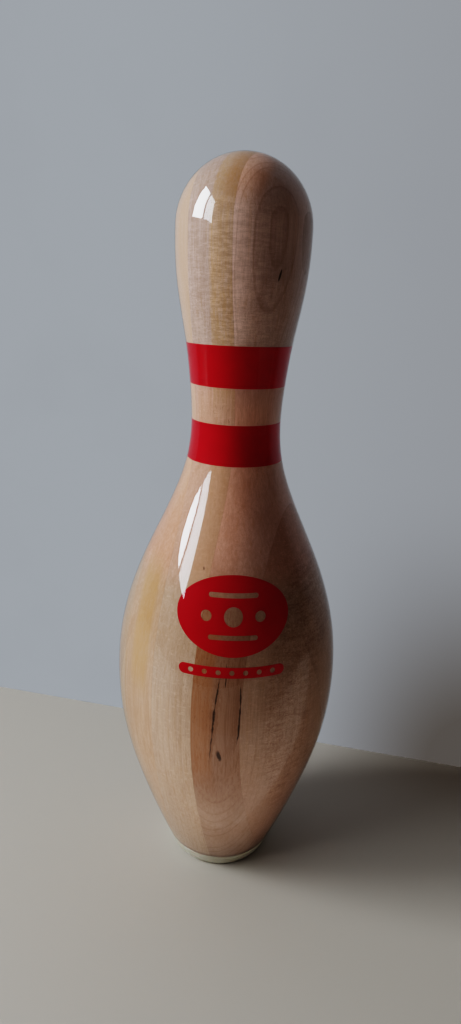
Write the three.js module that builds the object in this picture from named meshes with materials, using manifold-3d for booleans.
// A regulation tenpin: laminated maple boards, printed marks and a clear coat, on a nylon base ring.
// Millimetres, +Z up. The origin is the centre of the base, and the badge faces -Y.

import * as THREE from 'three';
import * as BufferGeometryUtils from 'three/addons/utils/BufferGeometryUtils.js';
import Module from 'manifold-3d';

const wasm = await Module();
wasm.setup();

// ---- Driving dimensions ----

const INCH = 25.4;

// The regulation outline: height above the base and diameter there, in inches. The first station
// is the sharp corner that the outline would reach at the floor, before the base is rounded.
const OUTLINE_STATIONS = [
  [0, 2.205], [0.75, 2.828], [2.25, 3.906], [3.375, 4.51], [4.5, 4.766], [5.875, 4.563],
  [7.25, 3.703], [8.625, 2.472], [9.375, 1.965], [10, 1.797], [10.875, 1.87], [11.75, 2.094],
  [12.625, 2.406], [13.5, 2.547], [13.7265, 2.547],
];
const PIN_HEIGHT = 15 * INCH;
const HEAD_RADIUS = 1.2735 * INCH;
const DOME_CENTRE_Z = PIN_HEIGHT - HEAD_RADIUS;

// Facets round the pin, rows up its outline and rows over its dome.
const SEGMENTS = 40;
const BODY_ROWS = 24;
const DOME_ROWS = 6;

// Depths below the finished surface. Layers that lie on each other keep GAP between them. A
// pocket is cut a little past the coat's inner face, so that it is open to the wood.
const GAP = 0.3;
const COAT_DEPTH = 1.2;
const WOOD_DEPTH = COAT_DEPTH + GAP;
const PRINT_TOP = 0.8;
const PRINT_BOTTOM = COAT_DEPTH;
const POCKET_TOP = PRINT_TOP - GAP;
const POCKET_BOTTOM = COAT_DEPTH + 0.1;

// Parallel boards glued face to face, turned a little out of line with the badge.
const BOARD_WIDTH = 23;
const FIRST_SEAM = -37.6;
const BOARD_TURN = THREE.MathUtils.degToRad(-26.5);
const GLUE_LINE = 0.3;

// Cuts made from below start here.
const BELOW_FLOOR = -1;

// Blind bore in the base, on the axis.
const BORE_RADIUS = 9.5;
const BORE_DEPTH = 45;

// Nylon base ring: an outer wall on the outline, and a thinner flange round the bore.
const RING_HEIGHT = 9;
const RING_CORNER_RADIUS = (5 / 32) * INCH;
const RING_TOP_CHAMFER = 0.5;
const RING_SOCKET_RADIUS = 22;
const RING_HOLE_RADIUS = 12;
const FLANGE_BOTTOM = 1;
const FLANGE_TOP = 3.5;
const FLANGE_RADIUS = 19.5;
const FLANGE_STEP = 0.8;

// Nails that hold the ring.
const NAIL_COUNT = 4;
const NAIL_CIRCLE_RADIUS = 16;
const NAIL_SHANK_RADIUS = 1.2;
const NAIL_HEAD_RADIUS = 2.4;
const NAIL_HEAD_BOTTOM = 1.1;
const NAIL_HEAD_TOP = 1.9;
const NAIL_TIP_Z = 28;
const NAIL_TIP_LENGTH = 3;
const NAIL_RIDGES = 5;
const NAIL_RIDGE_PITCH = 2.5;
const NAIL_RIDGE_DEPTH = 0.15;
const NAIL_SEGMENTS = 8;

// Neck stripes: lowest and highest point of each.
const LOWER_STRIPE = [239.8, 259.5];
const UPPER_STRIPE = [277.2, 296.6];

// Steps along each curve of the badge and the bar.
const MARK_CURVE_STEPS = 8;

// Plain oval badge with knocked-out dots and slots.
const BADGE_WIDTH = 54;
const BADGE_HEIGHT = 37;
const BADGE_Z = 173;
const BADGE_CENTRE_DOT = 4.6;
const BADGE_SIDE_DOT = 2.6;
const BADGE_SIDE_DOT_X = 13;
const BADGE_SLOT_LENGTH = 24;
const BADGE_SLOT_WIDTH = 2.4;
const BADGE_SLOT_Z = 9.5;

// Plain bar below the badge, pierced by a row of dots.
const BAR_LENGTH = 51;
const BAR_WIDTH = 5.2;
const BAR_Z = 147;
const BAR_DOTS = 7;
const BAR_DOT_RADIUS = 1.3;
const BAR_DOT_PITCH = 6.6;

// ---- Materials ----

const maple = (color) => new THREE.MeshStandardMaterial({ color, roughness: 0.45, metalness: 0 });
const MAPLE_LIGHT = maple(0xd9b98a);
const MAPLE_MID = maple(0xc79f6d);
const MAPLE_DARK = maple(0xb3834f);
const PRINT_RED = new THREE.MeshStandardMaterial({ color: 0xa80d16, roughness: 0.35, metalness: 0 });
const NYLON = new THREE.MeshStandardMaterial({ color: 0xd9d4bd, roughness: 0.5, metalness: 0 });
const STEEL = new THREE.MeshStandardMaterial({ color: 0x8d8d8a, roughness: 0.4, metalness: 1 });
const CLEAR = new THREE.MeshStandardMaterial({
  color: 0xf2e6cc, roughness: 0.05, metalness: 0, transparent: true, opacity: 0.2,
});

// ---- Solids from geometry, and back ----

function toSolid(geometry) {
  geometry.deleteAttribute('normal');
  geometry.deleteAttribute('uv');
  const merged = BufferGeometryUtils.mergeVertices(geometry, 1e-4);
  return new wasm.Manifold(new wasm.Mesh({
    numProp: 3,
    vertProperties: new Float32Array(merged.attributes.position.array),
    triVerts: new Uint32Array(merged.index.array),
  }));
}

function toGeometry(solid) {
  const { vertProperties, triVerts } = solid.getMesh();
  const geometry = new THREE.BufferGeometry();
  geometry.setAttribute('position', new THREE.BufferAttribute(vertProperties, 3));
  geometry.setIndex(new THREE.BufferAttribute(triVerts, 1));
  geometry.computeVertexNormals();
  return geometry;
}

// Turns [radius, z] points round +Z. The first facet edge faces -Y. Up the outside is outward.
function lathe(points, segments) {
  const profile = points.map(([radius, z]) => new THREE.Vector2(radius, z));
  return new THREE.LatheGeometry(profile, segments).rotateX(Math.PI / 2);
}

function revolve(points) {
  return toSolid(lathe(points, SEGMENTS));
}

// Pushes a flat X-Z shape from the axis towards -Y.
function extrudeForward(shape) {
  const settings = { depth: 2 * HEAD_RADIUS, bevelEnabled: false, curveSegments: MARK_CURVE_STEPS };
  return toSolid(new THREE.ExtrudeGeometry(shape, settings).rotateX(Math.PI / 2));
}

// ---- The outline ----

// Cubic spline through the points with zero curvature at the first and zero slope at the last.
function splineThrough(points) {
  const last = points.length - 1;
  const step = (i) => points[i + 1][0] - points[i][0];
  const rise = (i) => (points[i + 1][1] - points[i][1]) / step(i);
  const ratio = [0];
  const value = [0];
  for (let i = 1; i <= last; i++) {
    const before = step(i - 1);
    const after = i < last ? step(i) : 0;
    const target = 6 * ((i < last ? rise(i) : 0) - rise(i - 1));
    const pivot = 2 * (before + after) - before * ratio[i - 1];
    ratio.push(after / pivot);
    value.push((target - before * value[i - 1]) / pivot);
  }
  const bend = new Array(last + 1).fill(0);
  bend[last] = value[last];
  for (let i = last - 1; i > 0; i--) bend[i] = value[i] - ratio[i] * bend[i + 1];

  return (z) => {
    let i = 0;
    while (i < last - 1 && z > points[i + 1][0]) i++;
    const h = step(i);
    const a = (points[i + 1][0] - z) / h;
    const b = 1 - a;
    const cubic = ((a ** 3 - a) * bend[i] + (b ** 3 - b) * bend[i + 1]) * (h * h) / 6;
    return a * points[i][1] + b * points[i + 1][1] + cubic;
  };
}

const surfaceRadius = splineThrough(
  OUTLINE_STATIONS.map(([height, diameter]) => [height * INCH, (diameter / 2) * INCH]),
);

function surfaceSlope(z) {
  const reach = 0.05;
  return (surfaceRadius(z + reach) - surfaceRadius(z - reach)) / (2 * reach);
}

const COAT_FOOT_Z = RING_HEIGHT + GAP;

// [radius, z] up the pin, at a depth below the surface, from the coat's foot to the top of the head.
function outlineAtDepth(depth) {
  const points = [];
  for (let i = 0; i < BODY_ROWS; i++) {
    const z = COAT_FOOT_Z + (DOME_CENTRE_Z - COAT_FOOT_Z) * (i / BODY_ROWS);
    points.push([surfaceRadius(z) - depth * Math.hypot(1, surfaceSlope(z)), z]);
  }
  const dome = HEAD_RADIUS - depth;
  for (let i = 0; i < DOME_ROWS; i++) {
    const angle = (i / DOME_ROWS) * (Math.PI / 2);
    points.push([dome * Math.cos(angle), DOME_CENTRE_Z + dome * Math.sin(angle)]);
  }
  points.push([0, DOME_CENTRE_Z + dome]);
  return points;
}

// A cup-shaped layer of the pin between two depths, open at the foot.
function layer(topDepth, bottomDepth) {
  return revolve([...outlineAtDepth(bottomDepth).reverse(), ...outlineAtDepth(topDepth)]);
}

// ---- Wood ----

const nailAngles = Array.from(
  { length: NAIL_COUNT },
  (_, i) => BOARD_TURN + (i + 0.5) * ((2 * Math.PI) / NAIL_COUNT),
);

function atNail(geometry, angle) {
  const x = NAIL_CIRCLE_RADIUS * Math.cos(angle);
  const y = NAIL_CIRCLE_RADIUS * Math.sin(angle);
  return geometry.translate(x, y, 0);
}

// An upright cylinder on the axis.
function post(radius, low, high, segments) {
  const geometry = new THREE.CylinderGeometry(radius, radius, high - low, segments);
  return geometry.rotateX(Math.PI / 2).translate(0, 0, (low + high) / 2);
}

function turnedWood() {
  const spigot = RING_SOCKET_RADIUS - GAP;
  const spigotFoot = FLANGE_TOP + GAP;
  const blank = revolve([
    [0, spigotFoot], [spigot, spigotFoot], [spigot, COAT_FOOT_Z], ...outlineAtDepth(WOOD_DEPTH),
  ]);
  let wood = blank.subtract(toSolid(post(BORE_RADIUS, BELOW_FLOOR, BORE_DEPTH, SEGMENTS)));
  for (const angle of nailAngles) {
    const hole = post(NAIL_SHANK_RADIUS + GAP, BELOW_FLOOR, NAIL_TIP_Z + GAP, NAIL_SEGMENTS);
    wood = wood.subtract(toSolid(atNail(hole, angle)));
  }
  return wood;
}

// The slab of space between two seams. A missing seam lets it run past the pin.
function boardSpace(lowSeam, highSeam) {
  const far = 2 * HEAD_RADIUS + BOARD_WIDTH;
  const low = lowSeam === undefined ? -far : lowSeam + GLUE_LINE / 2;
  const high = highSeam === undefined ? far : highSeam - GLUE_LINE / 2;
  const box = new THREE.BoxGeometry(high - low, 2 * far, 2 * PIN_HEIGHT);
  return toSolid(box.translate((low + high) / 2, 0, PIN_HEIGHT / 2).rotateZ(BOARD_TURN));
}

function boards() {
  const wood = turnedWood();
  const seams = [0, 1, 2, 3].map((i) => FIRST_SEAM + i * BOARD_WIDTH);
  const board = (low, high) => wood.intersect(boardSpace(low, high));
  return [
    ['belly_slab_left', board(undefined, seams[0]), MAPLE_LIGHT],
    ['core_board_left', board(seams[0], seams[1]), MAPLE_LIGHT],
    ['core_board_centre', board(seams[1], seams[2]), MAPLE_DARK],
    ['core_board_right', board(seams[2], seams[3]), MAPLE_MID],
    ['belly_slab_right', board(seams[3], undefined), MAPLE_MID],
  ];
}

// ---- Printed marks ----

function ovalShape(width, height, z) {
  return new THREE.Shape().absellipse(0, z, width / 2, height / 2, 0, 2 * Math.PI, false);
}

function dot(x, z, radius) {
  return new THREE.Path().absarc(x, z, radius, 0, 2 * Math.PI, true);
}

// A straight bar with round ends.
function barOutline(path, length, width, z) {
  const radius = width / 2;
  const straight = length / 2 - radius;
  path.moveTo(-straight, z - radius);
  path.lineTo(straight, z - radius);
  path.absarc(straight, z, radius, -Math.PI / 2, Math.PI / 2, false);
  path.lineTo(-straight, z + radius);
  path.absarc(-straight, z, radius, Math.PI / 2, (3 * Math.PI) / 2, false);
  return path;
}

function badgeShape() {
  const shape = ovalShape(BADGE_WIDTH, BADGE_HEIGHT, BADGE_Z);
  shape.holes.push(dot(0, BADGE_Z, BADGE_CENTRE_DOT));
  for (const side of [-1, 1]) {
    shape.holes.push(dot(side * BADGE_SIDE_DOT_X, BADGE_Z, BADGE_SIDE_DOT));
    const slotZ = BADGE_Z + side * BADGE_SLOT_Z;
    shape.holes.push(barOutline(new THREE.Path(), BADGE_SLOT_LENGTH, BADGE_SLOT_WIDTH, slotZ));
  }
  return shape;
}

function barShape() {
  const shape = barOutline(new THREE.Shape(), BAR_LENGTH, BAR_WIDTH, BAR_Z);
  for (let i = 0; i < BAR_DOTS; i++) {
    const x = (i - (BAR_DOTS - 1) / 2) * BAR_DOT_PITCH;
    shape.holes.push(dot(x, BAR_Z, BAR_DOT_RADIUS));
  }
  return shape;
}

// Everything between two heights.
function heightSpace([low, high]) {
  const side = 4 * HEAD_RADIUS;
  return toSolid(new THREE.BoxGeometry(side, side, high - low).translate(0, 0, (low + high) / 2));
}

const grown = ([low, high]) => [low - GAP, high + GAP];

// Each mark: its name, the space that it fills, and the space that the coat leaves for it.
function marks() {
  const badgePocket = ovalShape(BADGE_WIDTH + 2 * GAP, BADGE_HEIGHT + 2 * GAP, BADGE_Z);
  const barPocket = barOutline(new THREE.Shape(), BAR_LENGTH + 2 * GAP, BAR_WIDTH + 2 * GAP, BAR_Z);
  return [
    ['neck_stripe_upper', heightSpace(UPPER_STRIPE), heightSpace(grown(UPPER_STRIPE))],
    ['neck_stripe_lower', heightSpace(LOWER_STRIPE), heightSpace(grown(LOWER_STRIPE))],
    ['badge', extrudeForward(badgeShape()), extrudeForward(badgePocket)],
    ['badge_bar', extrudeForward(barShape()), extrudeForward(barPocket)],
  ];
}

// ---- Clear coat ----

function clearCoat(markList) {
  const pocketLayer = layer(POCKET_TOP, POCKET_BOTTOM);
  let coat = layer(0, COAT_DEPTH);
  for (const [, , pocket] of markList) coat = coat.subtract(pocketLayer.intersect(pocket));
  return coat;
}

// ---- Base ring and nails ----

// The rounded bottom corner, tangent to the floor and to the outline.
function ringCorner() {
  const rows = 4;
  const lean = Math.atan(surfaceSlope(RING_CORNER_RADIUS));
  const centre = surfaceRadius(RING_CORNER_RADIUS) - RING_CORNER_RADIUS / Math.cos(lean);
  return Array.from({ length: rows + 1 }, (_, i) => {
    const angle = THREE.MathUtils.lerp(-Math.PI / 2, -lean, i / rows);
    return [
      centre + RING_CORNER_RADIUS * Math.cos(angle),
      RING_CORNER_RADIUS * (1 + Math.sin(angle)),
    ];
  });
}

function baseRing() {
  const chamferZ = RING_HEIGHT - RING_TOP_CHAMFER;
  const profile = [
    [RING_HOLE_RADIUS, FLANGE_BOTTOM], [FLANGE_RADIUS, FLANGE_BOTTOM], [FLANGE_RADIUS + FLANGE_STEP, 0],
    ...ringCorner(),
    [surfaceRadius(chamferZ), chamferZ],
    [surfaceRadius(RING_HEIGHT) - RING_TOP_CHAMFER, RING_HEIGHT],
    [RING_SOCKET_RADIUS, RING_HEIGHT], [RING_SOCKET_RADIUS, FLANGE_TOP],
    [RING_HOLE_RADIUS, FLANGE_TOP], [RING_HOLE_RADIUS, FLANGE_BOTTOM],
  ];
  let ring = revolve(profile);
  for (const angle of nailAngles) {
    const seat = post(NAIL_HEAD_RADIUS + GAP, BELOW_FLOOR, NAIL_HEAD_TOP + GAP, NAIL_SEGMENTS);
    const hole = post(NAIL_SHANK_RADIUS + GAP, BELOW_FLOOR, FLANGE_TOP + GAP, NAIL_SEGMENTS);
    ring = ring.subtract(toSolid(atNail(seat, angle))).subtract(toSolid(atNail(hole, angle)));
  }
  return ring;
}

// A flat-headed nail, point up, with raised rings along its shank.
function nail(angle) {
  const ridgeTop = NAIL_TIP_Z - NAIL_TIP_LENGTH;
  const profile = [
    [0, NAIL_HEAD_BOTTOM], [NAIL_HEAD_RADIUS, NAIL_HEAD_BOTTOM], [NAIL_HEAD_RADIUS, NAIL_HEAD_TOP],
    [NAIL_SHANK_RADIUS, NAIL_HEAD_TOP],
  ];
  for (let i = NAIL_RIDGES; i > 0; i--) {
    const z = ridgeTop - i * NAIL_RIDGE_PITCH;
    profile.push([NAIL_SHANK_RADIUS, z], [NAIL_SHANK_RADIUS - NAIL_RIDGE_DEPTH, z + NAIL_RIDGE_DEPTH]);
  }
  profile.push([NAIL_SHANK_RADIUS, ridgeTop], [0, NAIL_TIP_Z]);
  return toSolid(atNail(lathe(profile, NAIL_SEGMENTS), angle));
}

// ---- Assembly ----

const pin = new THREE.Group();

function addPiece(name, solid, material) {
  const mesh = new THREE.Mesh(toGeometry(solid), material);
  mesh.name = name;
  pin.add(mesh);
}

for (const [name, solid, material] of boards()) addPiece(name, solid, material);

const markList = marks();
const printLayer = layer(PRINT_TOP, PRINT_BOTTOM);
for (const [name, space] of markList) addPiece(name, printLayer.intersect(space), PRINT_RED);

addPiece('clear_coat', clearCoat(markList), CLEAR);
addPiece('base_ring', baseRing(), NYLON);
nailAngles.forEach((angle, i) => addPiece(`base_nail_${i + 1}`, nail(angle), STEEL));

export default pin;
